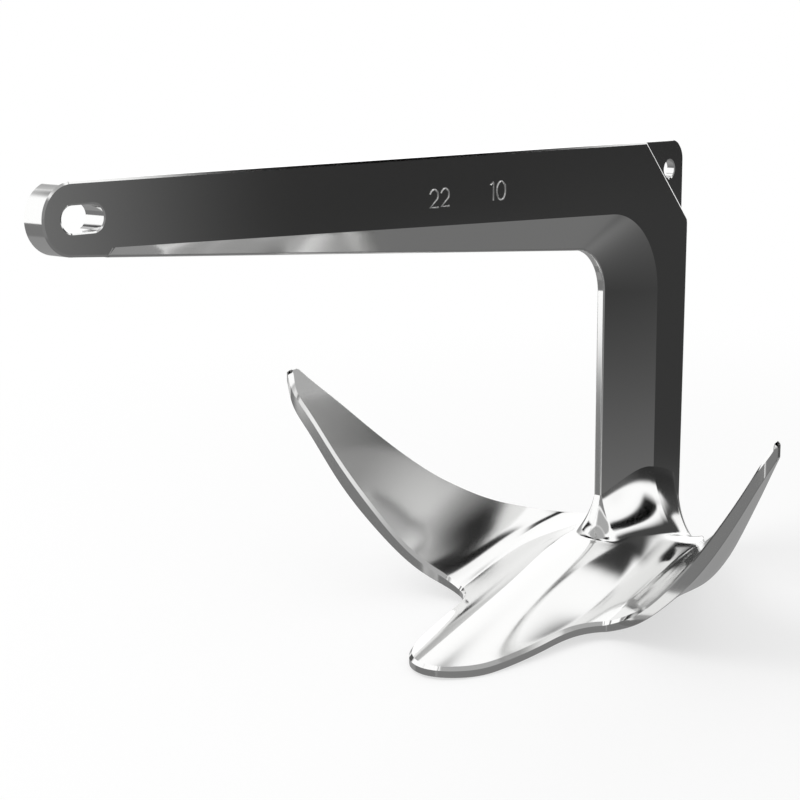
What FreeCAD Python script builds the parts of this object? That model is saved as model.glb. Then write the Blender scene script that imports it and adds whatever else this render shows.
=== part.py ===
import FreeCAD, Part
import os
from math import sin, tan, atan, pi, sqrt, exp
from FreeCAD import Vector as V

os.makedirs("parts", exist_ok=True)

# Claw anchor, about 10 kg, cast in stainless steel as one piece.
# Casting frame: the shank's top edge lies along X at z = 0, the leg's back is at x = 0, and the
# two sides mirror each other in y. At the end the anchor is turned into the pose it stands in on
# a floor, on the toe of its palm, its two elbows and its heel.

# Shank and leg
length = 590.0             # eye end to the leg's back
shank_t = 15.3             # thickness of the flat sides
eye_r = 19.2               # half height of the eye end
slot_r, slot_run = 7.0, 13.4       # shackle slot: half width, distance between its end centres
edge_t = 6.1               # thin inner edge of the wedge below the flat band
band_z0, band_z1 = 35.4, 47.7      # flat band depth, at the flank's start and at the corner
inner_z0, inner_z1 = 41.0, 72.2    # full depth at the same two places
flank_x0, corner_x = -544.0, -115.0
ridge_x, ridge_r = -38.6, 59.4     # the band's inner border down the leg, its corner radius
inner_x, inner_r = -99.2, 31.6     # the leg's thin inner edge, its corner radius
leg_taper = 2.5            # the leg narrows this much at its back
edge_cut = 1.0             # chamfer on the flat sides' top edges and around the eye end

# Lug for the trip line, thinner than the shank, beyond a slanted step
lug_t = 6.5
lug_x, lug_r = -2.1, 14.4  # its back, its rounded corner
lug_low = -76.0
step_top, step_low = -55.6, -58.0  # the step runs from here on the top edge to here on the back
step_r = 8.0
trip_x, trip_z, trip_r = -19.7, -20.7, 6.5
hole_cut = 0.9             # chamfer around the slot and the trip hole

# Claw: height of its upper face over x and over the distance w from the middle plane
nose_x = -177.2            # the flukes' front edges cross the valleys here
nose_sweep = 0.24          # and run forward by this much per mm of w
crown_z = -293.0           # middle of that line
valley_w, valley_drop = 62.0, 20.2         # the valleys beside the palm, and how far they lie below
horn_rise, horn_reach = 148.44, 143.0        # the horns rise by this much over this width beside it
horn_power = 1.51          # and ever more steeply, by this power
palm_slope, side_slope, horn_slope = 0.305, 0.355, 0.43
palm_w = 57.5              # the slope changes over this width beside the middle
horn_w0, horn_w1 = 72.0, 115.0     # and again between these two
rim_slope, rim_w = 0.215, 86.0     # the palm's sides run flatter than its middle, out to this width
bend_run = 28.7            # length over which the slopes change at the nose line
fall_drop, fall_run = 85.48, 185.0         # fall from the nose line to the heel
fall_leg_w, fall_leg = 24.0, 0.35  # half width and share by which it falls less under the leg
claw_t = 6.5               # thickness at the rims
root_t, root_x, root_rx, root_ry = 5.7, -71.9, 67.0, 48.0     # added thickness under the leg
horn_t, horn_x, horn_w = 11.0, -116.9, 95.8   # added thickness along the back of the horns
horn_sweep, horn_rx, horn_mid, horn_rw = 0.83, 34.5, 119.8, 43.0
leg_down = 33.0            # the leg is drawn this far below the crown, then cut to the claw
blank_down, blank_up = 127.0, 203.0        # the claw lies within these heights of the crown
blank_edge = 15.0          # its faces are drawn this far past the horns' tips
tip_rise = 127.0           # the horn tips are cut level this far above the crown
rim_cut = 1.9              # bevel around the palm's upper edge
foot_r = 19.0              # fillet where the leg grows out of the claw
heel_share = 0.917         # of the room behind the leg, which the fillet may fill
rest_tilt = 5.04           # degrees the shank's eye end stands up when toe and heel rest on a floor

valley_z = crown_z - valley_drop
tip_z = crown_z + tip_rise
leg_foot = crown_z - leg_down

# plan outline from the middle plane to a horn's tip, front then rear, as (x, y)
fore = [(-290.8, 0), (-288.2, 11), (-279.8, 22), (-267.3, 30.7), (-251, 36.5), (-218.4, 43.5),
        (-195.5, 48.4), (-183.5, 54.8), (-177, 63.2), (-176.3, 73.8), (-181.3, 89), (-187.2, 106.3),
        (-194, 134.1), (-201, 162), (-207, 185.9), (-209.4, 195.4), (-205.8, 205)]
aft = [(7.7, 0), (5.8, 12.5), (-2, 25), (-13.4, 35.4), (-28.8, 45.5), (-43, 54.6), (-58.4, 64.7),
       (-76.6, 76.2), (-94, 87.2), (-120.7, 110.2), (-144.7, 138.7), (-168, 168.2), (-179.2, 181.3),
       (-190.6, 193.1), (-199.8, 203)]


def ease(v, v0, v1):
    u = min(max((v - v0) / (v1 - v0), 0.0), 1.0)
    return u * u * (3 - 2 * u)


def claw_top(x, y):
    w = abs(y)
    if w < valley_w:
        z = crown_z + (valley_z - crown_z) * sin(pi / 2 * w / valley_w) ** 2
    else:
        z = valley_z + horn_rise * ((w - valley_w) / horn_reach) ** horn_power
    mid = palm_slope + (side_slope - palm_slope) * ease(w, 0, palm_w)
    slope = mid + (horn_slope - mid) * ease(w, horn_w0, horn_w1)
    nose = palm_slope + (rim_slope - palm_slope) * ease(w, 0, palm_w)
    nose += (slope - nose) * ease(w, valley_w, rim_w)
    d = x - nose_x + nose_sweep * max(w - valley_w, 0.0)
    ramp = (d + sqrt(d * d + bend_run ** 2) - bend_run) / 2
    fall = fall_drop * max(1 - (w / horn_w) ** 2, 0.0) ** 2 * (1 - fall_leg * exp(-(w / fall_leg_w) ** 2))
    return z + nose * d + (slope - nose) * ramp - fall * (max(d, 0.0) / fall_run) ** 3


def claw_low(x, y):
    e, w = 1.0, abs(y)
    sx = (claw_top(x + e, y) - claw_top(x - e, y)) / (2 * e)
    sy = (claw_top(x, y + e) - claw_top(x, y - e)) / (2 * e)
    ridge = horn_x - horn_sweep * (w - horn_w)
    horn = horn_t * exp(-((x - ridge) / horn_rx) ** 2 - ((w - horn_mid) / horn_rw) ** 2)
    root = root_t * exp(-((x - root_x) / root_rx) ** 2 - (y / root_ry) ** 2)
    return claw_top(x, y) - (claw_t + horn + root) * sqrt(1 + sx * sx + sy * sy)


def skin(height, x0, x1, nx, w1, nw):
    # smooth face over a rectangle, from a height over (x, y)
    dx, dw = (x1 - x0) / nx, 2 * w1 / nw
    z = [[height(x0 + dx * i, -w1 + dw * j) for j in range(nw + 1)] for i in range(nx + 1)]
    s = Part.BSplineSurface()
    s.interpolate(z, x0, dx, -w1, dw)
    return s.toShape()


def solid_of(faces):
    shell = Part.makeShell(faces)
    shell.sewShape()
    solid = Part.makeSolid(Part.Shell(shell.Faces))
    if solid.Volume < 0:
        solid.reverse()
    return solid


def claw_blank():
    frame = (fore[0][0] - blank_edge, aft[0][0] + blank_edge, 16, fore[-1][1] + blank_edge, 32)
    top, low = skin(claw_top, *frame), skin(claw_low, *frame)
    faces = [top, low]
    for pick in (lambda e: e.CenterOfMass.x, lambda e: -e.CenterOfMass.x,
                 lambda e: e.CenterOfMass.y, lambda e: -e.CenterOfMass.y):
        faces.append(Part.makeRuledSurface(min(top.Edges, key=pick), min(low.Edges, key=pick)))
    return solid_of(faces)


def spline(half, parts):
    # smooth curve through the half's points and their mirror images, in short pieces
    c = Part.BSplineCurve()
    c.interpolate([V(x, -y, 0) for x, y in half[::-1]] + [V(x, y, 0) for x, y in half[1:]])
    u0, u1 = c.FirstParameter, c.LastParameter
    at = [u0 + (u1 - u0) * k / parts for k in range(parts + 1)]
    return [c.toShape(a, b) for a, b in zip(at, at[1:])]


def claw():
    ends = [Part.makeLine(V(fore[-1][0], s * fore[-1][1], 0), V(aft[-1][0], s * aft[-1][1], 0))
            for s in (1, -1)]
    wire = Part.Wire(Part.__sortEdges__(spline(fore, 10) + spline(aft, 8) + ends))
    prism = Part.Face(wire).extrude(V(0, 0, blank_down + blank_up)).translated(V(0, 0, crown_z - blank_down))
    body = claw_blank().common(prism)
    above = Part.makeBox(2 * length, 2 * length, -tip_z, V(-1.5 * length, -length, tip_z))
    return body.cut(above)


def plate(edges, t):
    face = Part.Face(Part.Wire(Part.__sortEdges__(edges)))
    return face.extrude(V(0, t, 0)).translated(V(0, -t / 2, 0))


def seg(*pts):
    return [Part.makeLine(V(a[0], 0, a[1]), V(b[0], 0, b[1])) for a, b in zip(pts, pts[1:])]


def bend(p, q, r, radius):
    # line, arc, line past the corner q
    u, v = (p - q).normalize(), (r - q).normalize()
    half = u.getAngle(v) / 2
    run = radius / tan(half)
    mid = q + (u + v).normalize() * (radius / sin(half) - radius)
    a, b = q + u * run, q + v * run
    return [Part.makeLine(p, a), Part.Arc(a, mid, b).toShape(), Part.makeLine(b, r)]


def border(z0, z1, leg_x, radius, y):
    # a border that runs along the shank, round the corner and down the leg
    slope = (z1 - z0) / (corner_x - flank_x0)
    knee = V(leg_x, y, -z0 - slope * (leg_x - flank_x0))
    return bend(V(flank_x0, y, -z0), knee, V(leg_x, y, leg_foot), radius)


eye_x = -length + eye_r
low_z = -2 * eye_r - (inner_z1 - inner_z0) / (corner_x - flank_x0) * (flank_x0 - 4 - eye_x)


def band():
    # eye end and flat band, full thickness, with the slanted step at the lug
    edges = [Part.Arc(V(eye_x, 0, 0), V(-length, 0, -eye_r), V(eye_x, 0, -2 * eye_r)).toShape()]
    edges += seg((eye_x, -2 * eye_r), (flank_x0 - 4, low_z))
    edges += [Part.Arc(V(flank_x0 - 4, 0, low_z), V(flank_x0 - 1.0, 0, low_z + 1.6),
                       V(flank_x0, 0, -band_z0)).toShape()]
    edges += border(band_z0, band_z1, ridge_x, ridge_r, 0)
    edges += seg((ridge_x, leg_foot), (-leg_taper, leg_foot), (0, step_low - 9))
    edges += bend(V(0, 0, step_low - 9), V(0, 0, step_low), V(step_top, 0, 0), step_r)
    edges += seg((step_top, 0), (eye_x, 0))
    return plate(edges, shank_t)


def wedge():
    # flanks ruled from the band's border to the thin inner edge
    near, far = [], []
    for side, s in ((near, -1), (far, 1)):
        side.append(border(band_z0, band_z1, ridge_x, ridge_r, s * shank_t / 2))
        side.append(border(inner_z0, inner_z1, inner_x, inner_r, s * edge_t / 2))
    rings = near + far[::-1]
    faces = []
    for a, b in zip(rings, rings[1:] + rings[:1]):
        faces += [Part.makeRuledSurface(p, q) for p, q in zip(a, b)]
    for k, end in ((0, 0), (2, 1)):
        pts = [ring[k].Vertexes[end].Point for ring in rings]
        faces.append(Part.Face(Part.makePolygon(pts + pts[:1])))
    return solid_of(faces)


def lug():
    inside = step_top - 12
    edges = bend(V(inside, 0, 0), V(lug_x, 0, 0), V(lug_x, 0, lug_low), lug_r)
    return plate(edges + seg((lug_x, lug_low), (inside, lug_low), (inside, 0)), lug_t)


def obround(x, z, r, run):
    edges = [Part.Arc(V(x, 0, z + r), V(x - r, 0, z), V(x, 0, z - r)).toShape(),
             Part.Arc(V(x + run, 0, z - r), V(x + run + r, 0, z), V(x + run, 0, z + r)).toShape()]
    if run:
        edges += seg((x, z - r), (x + run, z - r)) + seg((x, z + r), (x + run, z + r))
    return plate(edges, 3 * shank_t)


def mid(edge):
    return edge.valueAt((edge.FirstParameter + edge.LastParameter) / 2)


def on_side(edge, y):
    # the edge lies in one of the two flat sides at y and -y
    b = edge.BoundBox
    return b.YLength < 0.2 and abs(abs(b.YMin) - y) < 0.05


def inside(edge, x0, x1, z0, z1):
    b = edge.BoundBox
    return b.XMin > x0 and b.XMax < x1 and b.ZMin > z0 and b.ZMax < z1


half = shank_t / 2
shank = band().fuse([wedge(), lug()])
shank = shank.cut(obround(-length + eye_r, -eye_r, slot_r, slot_run))
shank = shank.cut(obround(trip_x, trip_z, trip_r, 0)).removeSplitter()
slot_x = -length + eye_r + slot_run / 2
slot_half = slot_run / 2 + slot_r + 1
mouths = [e for e in shank.Edges if on_side(e, half)
          and inside(e, slot_x - slot_half, slot_x + slot_half, -eye_r - slot_r - 1, -eye_r + slot_r + 1)]
mouths += [e for e in shank.Edges if on_side(e, lug_t / 2)
           and inside(e, trip_x - trip_r - 1, trip_x + trip_r + 1, trip_z - trip_r - 1, trip_z + trip_r + 1)]
shank = shank.makeChamfer(hole_cut, mouths)
outer = [e for e in shank.Edges if on_side(e, half) and e.BoundBox.XMax < step_top + 1
         and (e.BoundBox.ZMax > -0.1 or e.BoundBox.ZMin < -2 * eye_r + 0.1)
         and inside(e, -length - 1, step_top + 1, low_z - 0.1, 1) and e.BoundBox.XMax < flank_x0 - 3
         or on_side(e, half) and inside(e, -length, step_top + 1, -0.1, 0.1)]
shank = shank.makeChamfer(edge_cut, outer)
under = skin(lambda x, y: claw_top(x, y) - claw_t / 2, inner_x - eye_r, eye_r, 8, 2 * shank_t, 10)
shank = shank.cut(under.extrude(V(0, 0, leg_foot)))

blade = claw()
front = [e for e in blade.Edges if e.BoundBox.XMax < nose_x + 12 and e.Length > 12
         and abs(mid(e).z - claw_top(mid(e).x, mid(e).y)) < 0.3]
blade = blade.makeChamfer(rim_cut, front)

body = shank.fuse(blade).removeSplitter().Solids[0]
foot = [e for e in body.Edges if e.BoundBox.YMin > -half - 1 and e.BoundBox.YMax < half + 1
        and inside(e, inner_x - 2, 2, leg_foot, crown_z + 2.2 * foot_r)]
heel_x = aft[0][0]
heel_fall = atan(claw_top(heel_x - 1, 0) - claw_top(heel_x, 0))
foot_room = heel_share * (heel_x + leg_taper) / (1 - sin(heel_fall))
body = body.makeFillet(min(foot_r, foot_room), foot).Solids[0]
# into the pose it rests in, above the middle of its footprint
body.rotate(V(0, 0, 0), V(0, 1, 0), rest_tilt)
points = body.tessellate(0.1)[0]
low = [min(getattr(p, k) for p in points) for k in "xyz"]
high = [max(getattr(p, k) for p in points) for k in "xyz"]
body.translate(V(-(low[0] + high[0]) / 2, 0, -low[2]))
body.exportStep("parts/claw_anchor.step")
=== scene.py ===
import bpy
import numpy as np
from math import sin, cos, tan, pi, radians
from mathutils import Vector, Matrix
from mathutils.geometry import delaunay_2d_cdt


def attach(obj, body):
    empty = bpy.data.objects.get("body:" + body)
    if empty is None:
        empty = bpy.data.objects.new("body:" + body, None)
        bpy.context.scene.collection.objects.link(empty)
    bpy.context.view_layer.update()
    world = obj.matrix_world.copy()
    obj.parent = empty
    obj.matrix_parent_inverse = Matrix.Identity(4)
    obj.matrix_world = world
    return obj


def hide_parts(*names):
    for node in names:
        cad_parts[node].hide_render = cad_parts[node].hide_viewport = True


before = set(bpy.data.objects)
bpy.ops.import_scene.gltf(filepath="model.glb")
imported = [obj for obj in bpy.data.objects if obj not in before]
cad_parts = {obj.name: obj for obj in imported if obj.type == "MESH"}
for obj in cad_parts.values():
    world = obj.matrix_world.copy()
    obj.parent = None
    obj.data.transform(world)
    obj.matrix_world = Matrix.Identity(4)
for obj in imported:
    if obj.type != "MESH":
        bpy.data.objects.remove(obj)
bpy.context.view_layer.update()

# The casting's own frame, in mm: shank's top edge along X at z = 0, back of the leg at x = 0.
# It is turned and lifted into the pose the anchor rests in.
rest_tilt = radians(5.04)
corner = Vector((296.39, 0.0, 309.19))
to_row = Matrix.Scale(0.001, 4) @ Matrix.Translation(corner) @ Matrix.Rotation(rest_tilt, 4, "Y")


def row_mesh(name, verts, faces, normals):
    """A mesh from points and normals in the casting's frame; each face is turned to its normals."""
    me = bpy.data.meshes.new(name)
    v, n = np.array(verts, float), np.array(normals, float)
    f = np.array([t[:3] for t in faces])
    across = np.cross(v[f[:, 1]] - v[f[:, 0]], v[f[:, 2]] - v[f[:, 0]])
    wrong = np.sum(across * n[f].mean(1), 1) < 0
    faces = [t[::-1] if w else t for t, w in zip(faces, wrong)]
    me.from_pydata([to_row @ Vector(v) for v in verts], [], faces)
    me.polygons.foreach_set("use_smooth", [True] * len(me.polygons))
    me.update()
    turn = to_row.to_3x3()
    me.normals_split_custom_set_from_vertices([(turn @ Vector(n)).normalized() for n in normals])
    obj = bpy.data.objects.new(name, me)
    bpy.context.scene.collection.objects.link(obj)
    return obj


# Claw: two height fields over one outline, the upper face and the underside, joined by a rim.
# The front rim has a bevel on its upper edge, wider at the tips, and the rear rim only a small
# one. Lengths are in mm, and slopes are rise over run.
nose_x, nose_sweep = -177.2, 0.24
crown_z, valley_w, valley_z = -293.0, 62.0, -313.2
horn_k, horn_p = 0.0826, 1.51
palm_slope, side_slope, horn_slope, rim_slope = 0.305, 0.355, 0.43, 0.215
palm_w, horn_w0, horn_w1, rim_w = 57.5, 72, 115, 86
bend_run = 28.7
fall_k, fall_leg_w, fall_leg = 13.5e-6, 24.0, 0.35
claw_t, root_t, root_x, root_rx, root_ry = 6.5, 5.7, -71.9, 67.0, 48.0
horn_t, horn_x, horn_w, horn_sweep = 11.0, -116.9, 95.8, 0.83
horn_rx, horn_mid, horn_rw = 34.5, 119.8, 43.0
tip_z, tip_t = -166.0, 2.0
bevel, rim_cut, tip_cut, tip_w0, tip_w1 = 1.9, 0.7, 2.2, 190.0, 203.0

fore = [(-290.8, 0), (-288.2, 11), (-279.8, 22), (-267.3, 30.7), (-251, 36.5), (-218.4, 43.5),
        (-195.5, 48.4), (-183.5, 54.8), (-177, 63.2), (-176.3, 73.8), (-181.3, 89), (-187.2, 106.3),
        (-194, 134.1), (-201, 162), (-207, 185.9), (-209.4, 195.4), (-205.8, 205)]
aft = [(7.7, 0), (5.8, 12.5), (-2, 25), (-13.4, 35.4), (-28.8, 45.5), (-43, 54.6), (-58.4, 64.7),
       (-76.6, 76.2), (-94, 87.2), (-120.7, 110.2), (-144.7, 138.7), (-168, 168.2), (-179.2, 181.3),
       (-190.6, 193.1), (-199.8, 203)]


def ease(v, v0, v1):
    u = np.clip((v - v0) / (v1 - v0), 0.0, 1.0)
    return u * u * (3 - 2 * u)


def claw_top(x, y):
    w = np.abs(y)
    palm = crown_z + (valley_z - crown_z) * np.sin(pi / 2 * np.minimum(w / valley_w, 1.0)) ** 2
    z = palm + horn_k * np.maximum(w - valley_w, 0.0) ** horn_p
    mid = palm_slope + (side_slope - palm_slope) * ease(w, 0, palm_w)
    slope = mid + (horn_slope - mid) * ease(w, horn_w0, horn_w1)
    nose = palm_slope + (rim_slope - palm_slope) * ease(w, 0, palm_w)
    nose = nose + (slope - nose) * ease(w, valley_w, rim_w)
    d = x - nose_x + nose_sweep * np.maximum(w - valley_w, 0.0)
    ramp = (d + np.sqrt(d * d + bend_run ** 2) - bend_run) / 2
    fall = fall_k * np.maximum(1 - (w / horn_w) ** 2, 0.0) ** 2 \
        * (1 - fall_leg * np.exp(-(w / fall_leg_w) ** 2))
    return z + nose * d + (slope - nose) * ramp - fall * np.maximum(d, 0.0) ** 3


def claw_low(x, y):
    e, w = 1.0, np.abs(y)
    sx = (claw_top(x + e, y) - claw_top(x - e, y)) / (2 * e)
    sy = (claw_top(x, y + e) - claw_top(x, y - e)) / (2 * e)
    ridge = horn_x - horn_sweep * (w - horn_w)
    horn = horn_t * np.exp(-((x - ridge) / horn_rx) ** 2 - ((w - horn_mid) / horn_rw) ** 2)
    root = root_t * np.exp(-((x - root_x) / root_rx) ** 2 - (y / root_ry) ** 2)
    return claw_top(x, y) - (claw_t + horn + root) * np.sqrt(1 + sx * sx + sy * sy)


def normal_of(height, x, y, side):
    e = 0.25
    n = np.stack([-(height(x + e, y) - height(x - e, y)) / (2 * e),
                  -(height(x, y + e) - height(x, y - e)) / (2 * e), np.ones_like(x)], 1)
    return side * n / np.linalg.norm(n, axis=1)[:, None]


def smooth_curve(half, step):
    """Evenly spaced points on a smooth curve through the half's points and their mirror images."""
    p = np.array([(x, -y) for x, y in half[::-1]] + half[1:], float)
    t = np.r_[0, np.cumsum(np.linalg.norm(np.diff(p, axis=0), axis=1))]
    n = len(t)
    h = np.diff(t)
    a = np.zeros((n, n))
    b = np.zeros((n, 2))
    a[0, 0] = a[-1, -1] = 1.0
    for i in range(1, n - 1):
        a[i, i - 1], a[i, i], a[i, i + 1] = h[i - 1], 2 * (h[i - 1] + h[i]), h[i]
        b[i] = 6 * ((p[i + 1] - p[i]) / h[i] - (p[i] - p[i - 1]) / h[i - 1])
    m = np.linalg.solve(a, b)
    s = np.linspace(0, t[-1], int(t[-1] / step) + 1)
    k = np.clip(np.searchsorted(t, s, side="right") - 1, 0, n - 2)
    u, v, hk = (s - t[k])[:, None], (t[k + 1] - s)[:, None], h[k][:, None]
    return (m[k] * v ** 3 + m[k + 1] * u ** 3) / (6 * hk) \
        + (p[k] / hk - m[k] * hk / 6) * v + (p[k + 1] / hk - m[k + 1] * hk / 6) * u


def inset(loop, d):
    """The closed loop moved inwards by d at each point; the loop runs anticlockwise."""
    t = np.roll(loop, -1, 0) - np.roll(loop, 1, 0)
    t /= np.linalg.norm(t, axis=1)[:, None]
    return loop + np.stack([-t[:, 1], t[:, 0]], 1) * np.asarray(d).reshape(-1, 1)


def fill(loop, spacing):
    """Triangles over a closed loop, with a regular field of points inside."""
    lo, hi = loop.min(0), loop.max(0)
    gx = np.arange(lo[0], hi[0], spacing)
    gy = np.arange(-np.ceil(hi[1] / spacing) * spacing, hi[1] + spacing, spacing)
    g = np.array([(x, y) for x in gx for y in gy])
    a, b = loop, np.roll(loop, -1, 0)
    inside = np.zeros(len(g), bool)
    near = np.full(len(g), 1e9)
    for (ax, ay), (bx, by) in zip(a, b):
        cross = (ay > g[:, 1]) != (by > g[:, 1])
        if by != ay:
            inside ^= cross & (g[:, 0] < ax + (g[:, 1] - ay) * (bx - ax) / (by - ay))
        near = np.minimum(near, np.hypot(g[:, 0] - ax, g[:, 1] - ay))
    g = g[inside & (near > 0.6 * spacing)]
    points = [Vector(p) for p in np.r_[loop, g]]
    v, _, f, _, _, _ = delaunay_2d_cdt(points, [], [list(range(len(loop)))], 1, 1e-6)
    return np.array([tuple(p) for p in v]), f


rim_step, field_step = 1.0, 1.7
fore_pts, aft_pts = smooth_curve(fore, rim_step), smooth_curve(aft, rim_step)
outline = np.r_[aft_pts, fore_pts[::-1]]
ahead = np.roll(outline, -1, 0)
area = 0.5 * np.sum(outline[:, 0] * ahead[:, 1] - outline[:, 1] * ahead[:, 0])
if area < 0:
    outline = outline[::-1]
    front = np.r_[np.ones(len(fore_pts)), np.zeros(len(aft_pts))]
else:
    front = np.r_[np.zeros(len(aft_pts)), np.ones(len(fore_pts))]
for _ in range(6):
    front = (np.roll(front, 1) + front + np.roll(front, -1)) / 3
at_tip = ease(np.abs(outline[:, 1]), tip_w0, tip_w1)
cut = rim_cut + (bevel - rim_cut + tip_cut * at_tip) * front


def capped_top(x, y):
    return np.minimum(claw_top(x, y), tip_z)


def capped_low(x, y):
    return np.minimum(claw_low(x, y), capped_top(x, y) - tip_t)


verts, norms, faces = [], [], []


def add(points, normals, tris, flip=False):
    base = len(verts)
    verts.extend(map(tuple, points))
    norms.extend(map(tuple, normals))
    for t in tris:
        t = [base + i for i in t]
        faces.append(t[::-1] if flip else t)


top_loop, low_loop = inset(outline, cut), inset(outline, rim_cut)
for loop, height, side in ((top_loop, capped_top, 1), (low_loop, capped_low, -1)):
    p, tris = fill(loop, field_step)
    z = height(p[:, 0], p[:, 1])
    add(np.c_[p, z], normal_of(height, p[:, 0], p[:, 1], side), tris, flip=side < 0)


def band_of(a, b, normal_a, normal_b):
    """A closed strip of quads between two rings of points."""
    n = len(a)
    quads = [(i, (i + 1) % n, n + (i + 1) % n, n + i) for i in range(n)]
    add(np.r_[a, b], np.r_[normal_a, normal_b], quads)


def ring(loop, height, drop):
    return np.c_[loop, height(loop[:, 0], loop[:, 1]) - drop]


tangent = np.roll(outline, -1, 0) - np.roll(outline, 1, 0)
out = np.stack([tangent[:, 1], -tangent[:, 0]], 1)
out = np.c_[out / np.linalg.norm(out, axis=1)[:, None], np.zeros(len(out))]
top_n = normal_of(capped_top, outline[:, 0], outline[:, 1], 1)
low_n = normal_of(capped_low, outline[:, 0], outline[:, 1], -1)


def unit(v):
    return v / np.linalg.norm(v, axis=1)[:, None]


a = ring(top_loop, capped_top, 0)
b = ring(outline, capped_top, cut)
c = ring(outline, capped_low, -rim_cut)
d = ring(low_loop, capped_low, 0)
bevel_n = unit(out + top_n)
band_of(b, a, bevel_n, bevel_n)
band_of(c, b, out, out)
band_of(d, c, unit(out + low_n), unit(out + low_n))
claw = row_mesh("claw", verts, faces, norms)

# Leg's foot: a hollow curve from the leg's section down to the claw's upper face, wide at the
# flanks and the front edge and narrow at its back, where it stays inside the heel's outline. It
# starts on the leg with a slight crease.
leg_back, ridge_x, inner_x = -2.3, -38.6, -99.2
half_t, half_edge = 15.3 / 2, 6.1 / 2
section = [(leg_back, half_t), (ridge_x, half_t), (inner_x, half_edge),
           (inner_x, -half_edge), (ridge_x, -half_t), (leg_back, -half_t)]
rounding = [0.9, 0.0, 1.4, 1.4, 0.0, 0.9]
corner_steps, side_steps, rise_steps, crease = 12, 24, 32, radians(15)
front_tall, flank_tall, back_tall = 24.0, 14.0, 17.0
front_wide, flank_wide, back_wide, heel_wide = 20.0, 6.0, 5.0, 6.0
heel_gap, behind_wide, behind_low = 1.2, 2.0, 0.7
lead, lower_x, narrow_x = 4, -12.0, -14.0
ring_p, ring_n = [], []
for k, q in enumerate(section):
    p0, p2 = Vector(section[k - 1]), Vector(section[(k + 1) % 6])
    q = Vector(q)
    n0 = Vector(((q - p0).y, p0.x - q.x)).normalized()
    n1 = Vector(((p2 - q).y, q.x - p2.x)).normalized()
    turn = n0.angle_signed(n1)
    c = q - (n0 + n1) * rounding[k] / (1 + n0.dot(n1))
    for j in range(corner_steps + 1):
        bent = j / corner_steps
        if k == 0:
            bent = 1 - (1 - bent) ** 2
        elif k == 5:
            bent = bent ** 2
        ring_n.append(Matrix.Rotation(-turn * bent, 2) @ n0)
        ring_p.append(c + ring_n[-1] * rounding[k])
    for j in range(2, side_steps - 1):
        ring_p.append(q.lerp(p2, j / side_steps))
        ring_n.append(n1)
ring_p, ring_n = np.array(ring_p), np.array(ring_n)
along = ring_p[:, 0]
on_flank = ease(along, inner_x - lead, ridge_x)
tall = front_tall + flank_tall * on_flank
tall = tall - back_tall * ease(along, lower_x, leg_back)
wide = front_wide + flank_wide * on_flank - back_wide * ease(along, ridge_x, leg_back)
wide = wide - heel_wide * ease(along, narrow_x, leg_back)
behind = np.clip(ring_n[:, 0], 0.0, 1.0)
tall = tall * (1 - behind_low * behind)
wide = np.minimum(wide, behind_wide / np.maximum(behind, 0.05))
heel = aft_pts[aft_pts[:, 1] >= 0]
heel = heel[np.argsort(heel[:, 1])]
room = np.zeros(len(ring_p))
for w in np.arange(0.0, front_wide + flank_wide, 0.1):
    p = ring_p + ring_n * w
    heel_x = np.interp(np.abs(p[:, 1]), heel[:, 1], heel[:, 0])
    room = np.where(p[:, 0] < heel_x - heel_gap, w, room)
wide = np.minimum(wide, room)
verts, norms, faces = [], [], []
rows = []
for k in range(rise_steps + 1):
    t = crease + (pi / 2 - crease) * k / rise_steps
    p = ring_p + ring_n * (wide * (1 - cos(t) / cos(crease)))[:, None]
    z = claw_top(p[:, 0], p[:, 1]) + tall * (1 - sin(t)) / (1 - sin(crease))
    rows.append(np.c_[p, z])
rows = np.array(rows)
n_ring = len(ring_p)
du = np.roll(rows, -1, 1) - np.roll(rows, 1, 1)
dv = np.gradient(rows, axis=0)
nn = np.cross(du, dv)
nn /= np.maximum(np.linalg.norm(nn, axis=2), 1e-9)[:, :, None]
for k in range(rise_steps + 1):
    t = pi / 2 * k / rise_steps
    meant = np.c_[ring_n * cos(t), np.full(n_ring, sin(t))]
    nn[k] *= np.sign(np.sum(nn[k] * meant, 1))[:, None]
    verts.extend(map(tuple, rows[k]))
    norms.extend(map(tuple, nn[k]))
for k in range(rise_steps):
    this, above = k * n_ring, (k + 1) * n_ring
    for j in range(n_ring):
        j1 = (j + 1) % n_ring
        faces.append((this + j, this + j1, above + j1, above + j))
foot = row_mesh("foot", verts, faces, norms)

# Shank: eye end and flat-sided band of full thickness, flanks that fall from the band's border to
# a thin inner edge along the shank and down the leg, and the thin lug beyond a slanted step. The
# leg ends inside the claw.
length, eye_r, slot_r, slot_run = 590.0, 19.2, 7.0, 13.4
band_z0, band_z1, inner_z0, inner_z1 = 35.4, 47.7, 41.0, 72.2
flank_x0, corner_x, ridge_r, inner_r = -544.0, -115.0, 59.4, 31.6
leg_taper, leg_foot, edge_cut = 2.5, -326.0, 1.3
lug_half, lug_x, lug_r, lug_low = 6.5 / 2, -2.1, 14.4, -76.0
step_top, step_low, step_r = -55.6, -58.0, 8.0
trip_x, trip_z, trip_r, hole_cut = -19.7, -20.7, 6.5, 0.9
eye_x = -length + eye_r
verts, norms, faces = [], [], []


def quad(points, normals):
    add(points, normals, [(0, 1, 2, 3)])


def bend(p, q, r, radius, n=20):
    """Points from p to r, with the corner q rounded."""
    p, q, r = Vector(p), Vector(q), Vector(r)
    u, v = (p - q).normalized(), (r - q).normalized()
    half = u.angle(v) / 2
    mid = q + (u + v).normalized() * (radius / sin(half))
    a, b = q + u * radius / tan(half) - mid, q + v * radius / tan(half) - mid
    turn = a.angle_signed(b)
    return [p] + [mid + Matrix.Rotation(-turn * k / n, 2) @ a for k in range(n + 1)] + [r]


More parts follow.
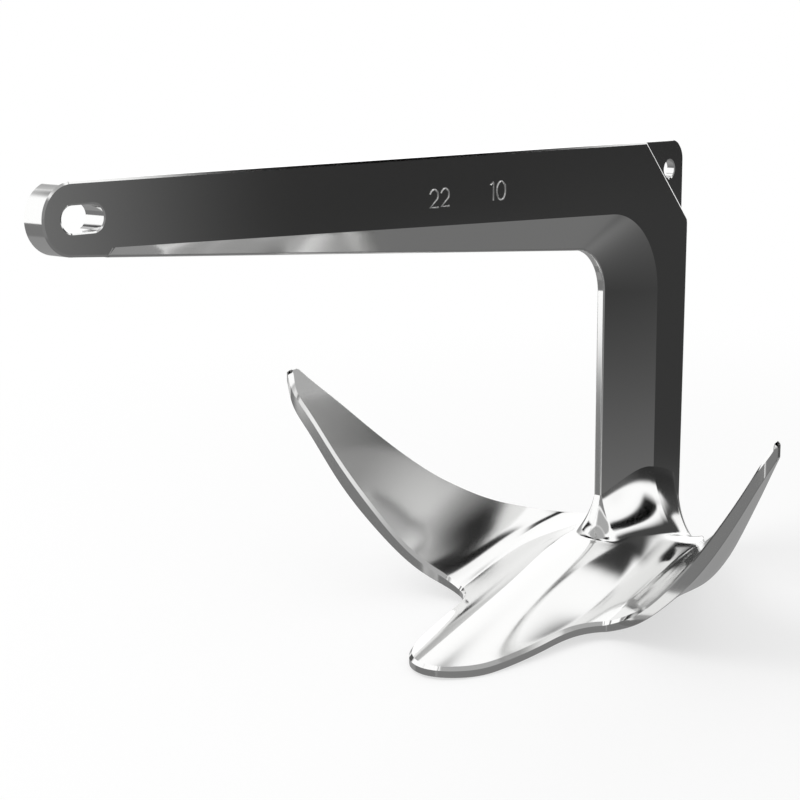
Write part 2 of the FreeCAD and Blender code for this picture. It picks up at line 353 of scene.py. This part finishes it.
def obround(x, z, r, run, n=24):
    """A slot's outline, with its left end's centre at x, z; a round hole where run is 0."""
    left = [(x + r * cos(pi / 2 + pi * k / n), z + r * sin(pi / 2 + pi * k / n))
            for k in range(n + 1)]
    right = [(x + run + r * cos(-pi / 2 + pi * k / n), z + r * sin(-pi / 2 + pi * k / n))
             for k in range(n + 1)]
    return np.array(left[:-1] + right[:-1] if run == 0 else left + right)


def corner_normals(loop):
    """Outward normals at the start and end of each edge, shared where the corner is slight."""
    e = np.roll(loop, -1, 0) - loop
    n = np.stack([e[:, 1], -e[:, 0]], 1) / np.linalg.norm(e, axis=1)[:, None]
    before, after = np.roll(n, 1, 0), np.roll(n, -1, 0)
    start = np.where((np.sum(n * before, 1) > 0.9)[:, None], n + before, n)
    end = np.where((np.sum(n * after, 1) > 0.9)[:, None], n + after, n)
    return unit(start), unit(end), n


def moved_in(loop, n, c):
    """The loop with each edge moved in by its own c, corners where the moved edges meet."""
    n0, c0 = np.roll(n, 1, 0), np.roll(c, 1)
    g = np.sum(n * n0, 1)
    same, room = np.abs(c - c0) < 1e-9, np.maximum(1 - g * g, 1e-6)
    back = np.where(same, c / (1 + g), (c0 - g * c) / room)
    ahead = np.where(same, c / (1 + g), (c - g * c0) / room)
    return loop - n0 * back[:, None] - n * ahead[:, None]


def in_y(p, y):
    """A point or direction of the side view, at a place across the shank."""
    return (p[0], y, p[1])


def edge_of(loop, walls, half, cut):
    """Wall and chamfers around a flat plate's outline or hole; returns the flat face's border.
    The chamfers slope 2 to 1. Those of walls that face up are shaded as if they sloped 3 to 1,
    which isn't their shape: it makes their line light, as the photo has it on the top edge."""
    start, end, n = corner_normals(loop)
    deep = cut / 2
    face = moved_in(loop, n, np.where(walls, cut, 0.0))
    for i in range(len(loop)):
        if not walls[i]:
            continue
        j = (i + 1) % len(loop)
        p, q = loop[i], loop[j]
        a, b = in_y(start[i], 0), in_y(end[i], 0)
        quad([in_y(p, deep - half), in_y(q, deep - half), in_y(q, half - deep),
              in_y(p, half - deep)], [a, b, b, a])
        faces_up = min(a[2], b[2]) > 0.99
        lean = 3 if faces_up else 2
        for s in (-1, 1):
            sa, sb = (a[0], lean * s, a[2]), (b[0], lean * s, b[2])
            quad([in_y(p, s * (half - deep)), in_y(q, s * (half - deep)),
                  in_y(face[j], s * half), in_y(face[i], s * half)], [sa, sb, sb, sa])
    return face


def anticlockwise(loop):
    loop = np.array([tuple(p) for p in loop], float)
    keep = np.linalg.norm(loop - np.roll(loop, 1, 0), axis=1) > 1e-6
    loop = loop[keep]
    ahead = np.roll(loop, -1, 0)
    area = np.sum(loop[:, 0] * ahead[:, 1] - loop[:, 1] * ahead[:, 0])
    return (loop, False) if area > 0 else (loop[::-1].copy(), True)


def inside_of(loop, p):
    hit = False
    for (ax, ay), (bx, by) in zip(loop, np.roll(loop, -1, 0)):
        if (ay > p[1]) != (by > p[1]) and p[0] < ax + (p[1] - ay) * (bx - ax) / (by - ay):
            hit = not hit
    return hit


def plate(outline, walls, hole, half, cut):
    """A flat plate with one hole, chamfered along its outline's walls and around the hole."""
    loop, turned = anticlockwise(outline)
    walls = np.array(walls, bool)
    if turned:
        walls = np.roll(walls[::-1], -1)
    face = edge_of(loop, walls, half, cut)
    hole = anticlockwise(hole)[0][::-1].copy()
    mouth = edge_of(hole, np.ones(len(hole), bool), half, hole_cut)
    points = [Vector(p) for p in np.r_[face, mouth]]
    rings = [list(range(len(face))), list(range(len(face), len(points)))]
    v, _, f, _, _, _ = delaunay_2d_cdt(points, [], rings, 1, 1e-6)
    middle = [sum((np.array(v[i]) for i in t), np.zeros(2)) / len(t) for t in f]
    f = [t for t, m in zip(f, middle) if not inside_of(mouth, m)]
    for s in (-1, 1):
        add([in_y(p, s * half) for p in v], [(0, s, 0)] * len(v), f)


def border(z0, z1, leg_x, radius):
    """A line under the shank that turns down the leg, z0 and z1 deep at its two ends."""
    slope = (z1 - z0) / (corner_x - flank_x0)
    knee = (leg_x, -z0 - slope * (leg_x - flank_x0))
    return np.array([tuple(p) for p in bend((flank_x0, -z0), knee, (leg_x, leg_foot), radius, 32)])


blend = 4
low_z = -2 * eye_r - (inner_z1 - inner_z0) / (corner_x - flank_x0) * (flank_x0 - blend - eye_x)
ridge = border(band_z0, band_z1, ridge_x, ridge_r)
eye = [(eye_x + eye_r * cos(pi / 2 + pi * k / 40), -eye_r + eye_r * sin(pi / 2 + pi * k / 40))
       for k in range(41)]
heel = [(flank_x0 - blend, low_z)]
heel += [(flank_x0 - blend * cos(pi / 2 * k / 6),
          low_z + (-band_z0 - low_z) * (1 - cos(pi / 2 * k / 6))) for k in range(1, 6)]
back_top = (0, step_low - 9)
back = [(-leg_taper, leg_foot), back_top]
step = [tuple(p) for p in bend(back_top, (0, step_low), (step_top, 0), step_r)][1:]
outline = eye + heel + [tuple(p) for p in ridge] + back + step
walls = [True] * (len(eye) + len(heel)) + [False] * len(ridge)
walls += [True] * (len(back) + len(step))
plate(outline, walls, obround(eye_x, -eye_r, slot_r, slot_run), half_t, edge_cut)

lug_in = step_top - 12
lug = bend((lug_in, 0), (lug_x, 0), (lug_x, lug_low), lug_r) + [Vector((lug_in, lug_low))]
lug_cut = 0.5
plate(lug, [True] * (len(lug) - 2) + [False] * 2, obround(trip_x, trip_z, trip_r, 0), lug_half,
      lug_cut)

nose_r = 1.4
thin = border(inner_z0, inner_z1, inner_x, inner_r)
along = np.gradient(thin, axis=0)
throat = np.stack([along[:, 1], -along[:, 0]], 1) / np.linalg.norm(along, axis=1)[:, None]
turns = [pi / 2 * k / 5 for k in range(6)]
profile = [(-nose_r + nose_r * sin(t), half_edge - nose_r + nose_r * cos(t), cos(t), sin(t))
           for t in turns]
profile += [(dep, -y, -cy, ct) for dep, y, cy, ct in profile[::-1]]
for (d0, y0, cy0, ct0), (d1, y1, cy1, ct1) in zip(profile, profile[1:]):
    for i in range(len(thin) - 1):
        quad([in_y(thin[i] + throat[i] * d0, y0), in_y(thin[i + 1] + throat[i + 1] * d0, y0),
              in_y(thin[i + 1] + throat[i + 1] * d1, y1), in_y(thin[i] + throat[i] * d1, y1)],
             [in_y(throat[i] * ct0, cy0), in_y(throat[i + 1] * ct0, cy0),
              in_y(throat[i + 1] * ct1, cy1), in_y(throat[i] * ct1, cy1)])
for s in (-1, 1):
    far = np.array([in_y(p, s * half_t) for p in ridge])
    near = np.array([in_y(p - t * nose_r, s * half_edge) for p, t in zip(thin, throat)])
    n_far = np.cross(np.gradient(far, axis=0), near - far)
    n_near = np.cross(np.gradient(near, axis=0), near - far)
    n_far *= np.sign(n_far[:, 1:2]) * s
    n_near *= np.sign(n_near[:, 1:2]) * s
    n_far /= np.linalg.norm(n_far, axis=1)[:, None]
    n_near /= np.linalg.norm(n_near, axis=1)[:, None]
    for i in range(len(far) - 1):
        quad([far[i], far[i + 1], near[i + 1], near[i]],
             [n_far[i], n_far[i + 1], n_near[i + 1], n_near[i]])
verts = np.array(verts)
foot_zone = 10
leg_end = verts[:, 2] < leg_foot + foot_zone
verts[leg_end, 2] = claw_top(verts[leg_end, 0], verts[leg_end, 1]) - claw_t / 2
shank = row_mesh("shank", verts, faces, norms)

# Marks: the weight as plain numerals, thin raised strokes on the near flat side, with no units.
# Each numeral is one round stroke.
stroke_r, stroke_out = 0.55, 0.05


def stroke(points):
    cu = bpy.data.curves.new("numeral", "CURVE")
    cu.dimensions = "3D"
    cu.bevel_depth = stroke_r / 1000
    cu.bevel_resolution = 3
    sp = cu.splines.new("POLY")
    sp.points.add(len(points) - 1)
    for q, (x, z) in zip(sp.points, points):
        q.co = (*(to_row @ Vector((x, -half_t - stroke_out, z))), 1)
    return bpy.data.objects.new("numeral", cu)


def arc(cx, cz, rx, rz, a0, a1, n=18):
    turns = [radians(a0 + (a1 - a0) * k / n) for k in range(n + 1)]
    return [(cx + rx * cos(t), cz + rz * sin(t)) for t in turns]


def two(x, z, w, h):
    return arc(x + w / 2, z - w / 2, w / 2, w / 2, 165, -35) + [(x, z - h), (x + w, z - h)]


mark_h, mark_w, ten_z = 11.0, 7.6, -18.6
one = [(-233.6, -20.6), (-230.4, ten_z), (-230.4, ten_z - mark_h - 0.8)]
nought = arc(-222.4, ten_z - mark_h / 2 - 0.4, 4.4, mark_h / 2 + 0.4, 0, 360, 36)
strokes = [two(-293.0, -20.2, mark_w, mark_h), two(-282.4, -20.0, mark_w, mark_h), one, nought]
marks = []
for pts in strokes:
    o = stroke(pts)
    bpy.context.scene.collection.objects.link(o)
    me = bpy.data.meshes.new_from_object(o.evaluated_get(bpy.context.evaluated_depsgraph_get()))
    bpy.data.objects.remove(o)
    me.polygons.foreach_set("use_smooth", [True] * len(me.polygons))
    m = bpy.data.objects.new("weight_mark", me)
    bpy.context.scene.collection.objects.link(m)
    marks.append(m)

# One casting: all of these are the same piece of polished steel, and together they replace its
# one node.
steel = bpy.data.materials.new("polished_steel")
steel.use_nodes = True
nt = steel.node_tree
bsdf = nt.nodes["Principled BSDF"]
bsdf.inputs["Base Color"].default_value = (0.76, 0.76, 0.755, 1)
bsdf.inputs["Metallic"].default_value = 1.0
bsdf.inputs["Roughness"].default_value = 0.09
for o in (claw, foot, shank, *marks):
    o.data.materials.clear()
    o.data.materials.append(steel)
    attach(o, "root")
    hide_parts("claw_anchor")

# Floor: plain and pale. The camera sees it as white far from the object, and nearer in it keeps
# more of its own shading, and so the object's shadow. The polish doesn't see it: the painted
# reflections of the shell below stand in for it there.
bpy.ops.mesh.primitive_plane_add(size=12)
floor = bpy.context.object
floor.name = "floor"
fm = bpy.data.materials.new("floor")
fm.use_nodes = True
nt = fm.node_tree
paint = nt.nodes["Principled BSDF"]
paint.inputs["Base Color"].default_value = (0.95, 0.95, 0.95, 1)
paint.inputs["Roughness"].default_value = 0.9
paint.inputs["Specular IOR Level"].default_value = 0.0


def seen_share(tree):
    """1 for camera, glossy and transmission rays, and 0 for the rest."""
    path = tree.nodes.new("ShaderNodeLightPath")
    share = path.outputs["Is Camera Ray"]
    for ray in ("Is Glossy Ray", "Is Transmission Ray"):
        most = tree.nodes.new("ShaderNodeMath")
        most.operation = "MAXIMUM"
        tree.links.new(share, most.inputs[0])
        tree.links.new(path.outputs[ray], most.inputs[1])
        share = most.outputs[0]
    return share


share = nt.nodes.new("ShaderNodeMath")
share.operation = "MULTIPLY"
place = nt.nodes.new("ShaderNodeTexCoord")
reach = nt.nodes.new("ShaderNodeVectorMath")
reach.operation = "LENGTH"
away = nt.nodes.new("ShaderNodeMapRange")
away.interpolation_type = "SMOOTHSTEP"
away.inputs["From Min"].default_value = 0.35
away.inputs["From Max"].default_value = 1.1
away.inputs["To Min"].default_value = 0.6
away.inputs["To Max"].default_value = 1.0
nt.links.new(place.outputs["Object"], reach.inputs[0])
nt.links.new(reach.outputs["Value"], away.inputs["Value"])
nt.links.new(away.outputs["Result"], share.inputs[1])
glow = nt.nodes.new("ShaderNodeEmission")
mix = nt.nodes.new("ShaderNodeMixShader")
nt.links.new(seen_share(nt), share.inputs[0])
nt.links.new(share.outputs[0], mix.inputs[0])
nt.links.new(paint.outputs[0], mix.inputs[1])
nt.links.new(glow.outputs[0], mix.inputs[2])
nt.links.new(mix.outputs[0], nt.nodes["Material Output"].inputs["Surface"])
floor.data.materials.append(fm)
floor.visible_glossy = False

# World: white behind the object, and a little lower on what it lights. The polish would see it as
# white too, but the shell of painted reflections stands in front of it.
world = bpy.data.worlds.new("studio")
world.use_nodes = True
wt = world.node_tree
bg = wt.nodes["Background"]
bg.inputs["Color"].default_value = (1, 1, 1, 1)
level = wt.nodes.new("ShaderNodeMapRange")
level.inputs["To Min"].default_value = 0.75
level.inputs["To Max"].default_value = 1.0
wt.links.new(seen_share(wt), level.inputs["Value"])
wt.links.new(level.outputs["Result"], bg.inputs["Strength"])
bpy.context.scene.world = world

# Studio shell: a large shell around the object that only its polish sees, painted with soft
# patches of tone whose places were tuned to what the real steel mirrors. These are painted
# reflections: the steel's light and dark bands come from them, and the metal shows this shell, not
# the floor and the white world. Its open part is brighter than white, as the steel dims it.
reflection_shell_r = 20.0
bpy.ops.mesh.primitive_uv_sphere_add(segments=64, ring_count=32, radius=reflection_shell_r,
                                     location=(0, 0, 0.2))
reflection_shell = bpy.context.object
reflection_shell.name = "reflection_shell"
reflection_shell.visible_camera = reflection_shell.visible_diffuse = reflection_shell.visible_shadow = reflection_shell.visible_transmission = False
tm = bpy.data.materials.new("reflection_shell")
tm.use_nodes = True
nt = tm.node_tree
nt.nodes.clear()


def node(kind, **values):
    n = nt.nodes.new(kind)
    for k, v in values.items():
        setattr(n, k, v)
    return n


def lay(op, a, b=None):
    """A math node over numbers or sockets."""
    n = node("ShaderNodeMath", operation=op)
    for i, v in enumerate((a, b)):
        if v is None:
            continue
        if isinstance(v, (int, float)):
            n.inputs[i].default_value = v
        else:
            nt.links.new(v, n.inputs[i])
    return n.outputs[0]


def rise(value, v0, v1):
    """From 0 at v0 to 1 at v1, with soft ends."""
    n = node("ShaderNodeMapRange", interpolation_type="SMOOTHSTEP")
    nt.links.new(value, n.inputs["Value"])
    n.inputs["From Min"].default_value = v0
    n.inputs["From Max"].default_value = v1
    return n.outputs["Result"]


where = node("ShaderNodeTexCoord")
axes = node("ShaderNodeSeparateXYZ")
nt.links.new(where.outputs["Object"], axes.inputs[0])
azimuth = lay("MULTIPLY", lay("ARCTAN2", axes.outputs[1], axes.outputs[0]), 180 / pi)
height = lay("MULTIPLY", lay("ARCSINE", lay("DIVIDE", axes.outputs[2], reflection_shell_r)), 180 / pi)


def reflection_patch(value, tone, az, el, az_soft, el_soft, up=None):
    """A painted reflection patch: its tone laid over value, between two azimuths and two heights in
    degrees, each edge faded over its own number of degrees."""
    side = lay("MULTIPLY", rise(azimuth, az[0], az[0] + az_soft[0]),
               lay("SUBTRACT", 1.0, rise(azimuth, az[1] - az_soft[1], az[1])))
    up = up or height
    tall = lay("MULTIPLY", rise(up, el[0], el[0] + el_soft[0]),
               lay("SUBTRACT", 1.0, rise(up, el[1] - el_soft[1], el[1])))
    cover = lay("MULTIPLY", side, tall)
    bare = lay("MULTIPLY", value, lay("SUBTRACT", 1.0, cover))
    return lay("ADD", bare, lay("MULTIPLY", cover, tone))


# Painted reflections: each row below lays a band of light or shade on the shell, which the steel
# mirrors.
bright_reflection_tone = 1.3
arch, roof = [lay("ADD", height, lay("MULTIPLY", lay("MULTIPLY", azimuth, azimuth), curve))
              for curve in (0.0085, 0.0035)]
fade = lay("MULTIPLY", rise(azimuth, 53.0, 65.0), 0.8)
reflection_patches = [    # tone, azimuths, heights, how far each edge fades, and a bent height for some
    (0.5, (-180, -50), (28, 70), (10, 6), (8, 8)),
    (0.3, (-180, -52), (-30, 30), (10, 6), (8, 6)),
    (0.45, (61, 84), (-30, 60), (3, 8), (5, 34)),
    (0.33, (-190, 190), (-100, -6), (1, 1), (1, 8)),
    (0.2, (-190, 5), (-100, -16), (1, 15), (1, 6)),
    (0.25, (-180, -38), (-30, 2.5), (10, 6), (8, 3)),
    (0.035, (-58, 18), (-24, 1), (13, 8), (16, 2)),
    (0.045, (-39, -26), (-22, -6), (4, 4), (6, 3)),
    (0.0, (-45, -29), (5, 40), (3, 2), (6, 4)),
    (0.07, (-28, 20), (-24, 51), (16, 7), (9, 7)),
    (0.04, (-6, 14), (38, 58), (5, 6), (4, 3)),
    (0.0, (-34, -11), (57, 72), (3, 3), (2.5, 6)),
    (fade, (18, 67), (65.8, 200), (8, 5), (0.9, 2), arch),
    (bright_reflection_tone, (18, 70), (69.5, 200), (6, 5), (2, 1), roof),
    (0.5, (-190, 190), (63, 100), (1, 1), (7, 1)),
    (1.2, (-10, 30), (-7, 5), (3, 4), (3, 4)),
    (0.1, (62, 80), (-14, 14), (3, 3), (3, 6)),
    (0.01, (78, 126), (36, 54), (5, 5), (4, 4)),
    (0.23, (98, 190), (-30, -4.5), (7, 1), (4, 2)),
]
tone = lay("ADD", 0.0, bright_reflection_tone)
for row in reflection_patches:
    tone = reflection_patch(tone, *row)
shine = node("ShaderNodeEmission")
nt.links.new(tone, shine.inputs["Strength"])
done = node("ShaderNodeOutputMaterial")
nt.links.new(shine.outputs[0], done.inputs["Surface"])
reflection_shell.data.materials.append(tm)

# Key lamp, large and soft, from the camera's upper left. It lays the object's shadow on the
# floor, and the polish doesn't see it.
key = bpy.data.lights.new("key", "AREA")
key.energy, key.size = 28.0, 1.6
key_obj = bpy.data.objects.new("key", key)
key_obj.location = (-1.2, 1.2, 2.2)
aim = Vector((0, 0, 0.1)) - key_obj.location
key_obj.rotation_euler = aim.to_track_quat("-Z", "Y").to_euler()
key_obj.visible_glossy = False
bpy.context.scene.collection.objects.link(key_obj)

# Camera where the photo was taken from, as fitted in the casting's frame with a shank of 616 mm
# and scaled to the real one. It is turned with the casting into its pose of rest.
fitted_length = 616
camera_at = to_row @ (Vector((-1213.9, -777.9, 64.9)) * (length / fitted_length))
az, pitch, roll = radians(48.7495), radians(10.602), radians(-0.2147)
d = Vector((sin(az) * cos(pitch), cos(az) * cos(pitch), -sin(pitch)))
r = Vector((cos(az), -sin(az), 0))
u = r.cross(d)
r2 = r * cos(roll) + u * sin(roll)
u2 = u * cos(roll) - r * sin(roll)
cam = bpy.data.cameras.new("camera")
cam.lens, cam.sensor_width = 83.25, 36.0
cam_obj = bpy.data.objects.new("camera", cam)
bpy.context.scene.collection.objects.link(cam_obj)
look = Matrix((r2, u2, -d)).transposed()
turned = Matrix.Rotation(rest_tilt, 3, "Y") @ look
cam_obj.matrix_world = Matrix.Translation(camera_at) @ turned.to_4x4()
bpy.context.scene.camera = cam_obj

bpy.context.scene.view_settings.view_transform = "Standard"
